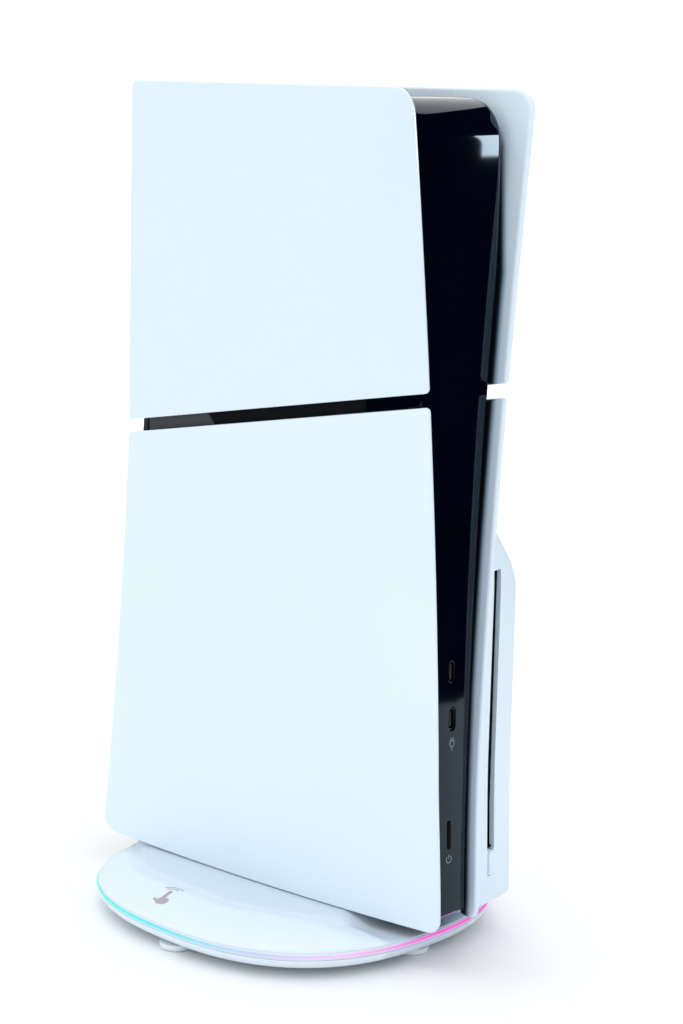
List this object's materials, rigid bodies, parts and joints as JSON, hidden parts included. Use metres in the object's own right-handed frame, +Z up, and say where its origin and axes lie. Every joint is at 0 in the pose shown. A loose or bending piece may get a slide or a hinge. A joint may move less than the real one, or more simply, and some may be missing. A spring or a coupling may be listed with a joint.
{
  "type": "game console with light-up stand",
  "caption": "Slim upright games console with flared white side panels, a glossy black core and a side disc drive, docked on a rounded stand with a light ring.",
  "frame": {"origin": "on the table, under the middle of the object", "axes": "+Z up, console front towards -Y, disc drive towards +X"},
  "size_m": [0.1672, 0.2049, 0.3761],
  "materials": {
    "panel_gloss": "satin gloss cool white plastic",
    "panel_matte": "fine matt cool white plastic",
    "stand_white": "smooth satin white plastic",
    "core_gloss": "piano black plastic",
    "core_matte": "fine textured black plastic",
    "light_guide": "frosted light guide, lit in colours that run from green through blue to pink",
    "metal": "plain stamped steel",
    "aluminium": "plain extruded aluminium",
    "copper": "bare copper",
    "circuit_board": "solder-masked circuit board",
    "lens": "clear moulded lens",
    "pad": "soft pale rubber"
  },
  "bodies": {
    "stand": {"stand_top_cover": "stand_white", "stand_bottom_cover": "stand_white", "light_ring": "light_guide", "stand_board": "circuit_board", "led_board": "circuit_board", "touch_sensor": "copper", "stand_usb_inlet": "metal", "foot_pad_1": "pad", "foot_pad_2": "pad", "foot_pad_3": "pad", "foot_pad_4": "pad", "stand_screw_1": "metal", "stand_screw_2": "metal", "stand_screw_3": "metal", "stand_screw_4": "metal"},
    "console": {"front_bezel": "core_gloss", "left_housing": "core_matte", "right_housing": "core_matte", "rear_socket_plate": "core_matte", "rear_grille": "core_matte", "rear_usb_a_upper": "metal", "rear_usb_a_lower": "metal", "lan_socket": "metal", "hdmi_socket": "metal", "ac_inlet": "core_matte", "front_usb_c_upper": "metal", "front_usb_c_lower": "metal", "power_switch": "core_matte", "fan_frame": "core_matte", "fan_spider": "core_matte", "heatsink": "aluminium", "heat_pipe_1": "copper", "heat_pipe_2": "copper", "main_board": "circuit_board", "processor": "metal", "power_supply": "core_matte", "ssd_module": "circuit_board", "ssd_cover": "metal", "wireless_module": "metal", "drive_tray": "metal", "drive_lid": "metal", "spindle_motor": "metal", "pickup_rail_1": "metal", "pickup_rail_2": "metal", "rear_screw_1": "metal", "rear_screw_2": "metal", "rear_screw_3": "metal", "rear_screw_4": "metal"},
    "left_upper_panel": {"left_upper_panel": "panel_gloss"},
    "right_upper_panel": {"right_upper_panel": "panel_gloss"},
    "left_lower_panel": {"left_lower_panel": "panel_matte"},
    "disc_drive_cover": {"disc_drive_cover": "panel_matte"},
    "eject_button": {"eject_button": "panel_matte"},
    "power_button": {"power_button": "core_gloss"},
    "fan_rotor": {"fan_rotor": "core_matte"},
    "spindle": {"spindle_hub": "core_matte"},
    "pickup": {"pickup_sled": "core_matte", "pickup_lens": "lens"},
    "feed_roller": {"feed_roller": "core_matte"}
  },
  "joints": [
    {"name": "console_lift_off", "type": "slide", "parent": "stand", "child": "console", "axis": [0, 0, 1], "range_m": [0, 0.05]},
    {"name": "left_upper_panel_pull", "type": "slide", "parent": "console", "child": "left_upper_panel", "axis": [-1, 0, 0], "range_m": [0, 0.03]},
    {"name": "right_upper_panel_pull", "type": "slide", "parent": "console", "child": "right_upper_panel", "axis": [1, 0, 0], "range_m": [0, 0.03]},
    {"name": "left_lower_panel_pull", "type": "slide", "parent": "console", "child": "left_lower_panel", "axis": [-1, 0, 0], "range_m": [0, 0.03]},
    {"name": "disc_drive_cover_pull", "type": "slide", "parent": "console", "child": "disc_drive_cover", "axis": [1, 0, 0], "range_m": [0, 0.04]},
    {"name": "eject_button_press", "type": "slide", "parent": "disc_drive_cover", "child": "eject_button", "axis": [0, 1, 0], "range_m": [0, 0.001], "stiffness_N_per_m": 300},
    {"name": "power_button_press", "type": "slide", "parent": "console", "child": "power_button", "axis": [0, 1, 0], "range_m": [0, 0.001], "stiffness_N_per_m": 300},
    {"name": "fan_spin", "type": "hinge", "parent": "console", "child": "fan_rotor", "pos_m": [-0.006, 0.002, 0.298], "axis": [1, 0, 0], "continuous": true},
    {"name": "spindle_spin", "type": "hinge", "parent": "console", "child": "spindle", "pos_m": [0.0327, -0.014, 0.106], "axis": [1, 0, 0], "continuous": true},
    {"name": "pickup_slide", "type": "slide", "parent": "console", "child": "pickup", "axis": [0, 1, 0], "range_m": [0, 0.022]},
    {"name": "feed_roller_spin", "type": "hinge", "parent": "console", "child": "feed_roller", "pos_m": [0.0324, -0.073, 0.106], "axis": [0, 0, 1], "continuous": true}
  ]
}
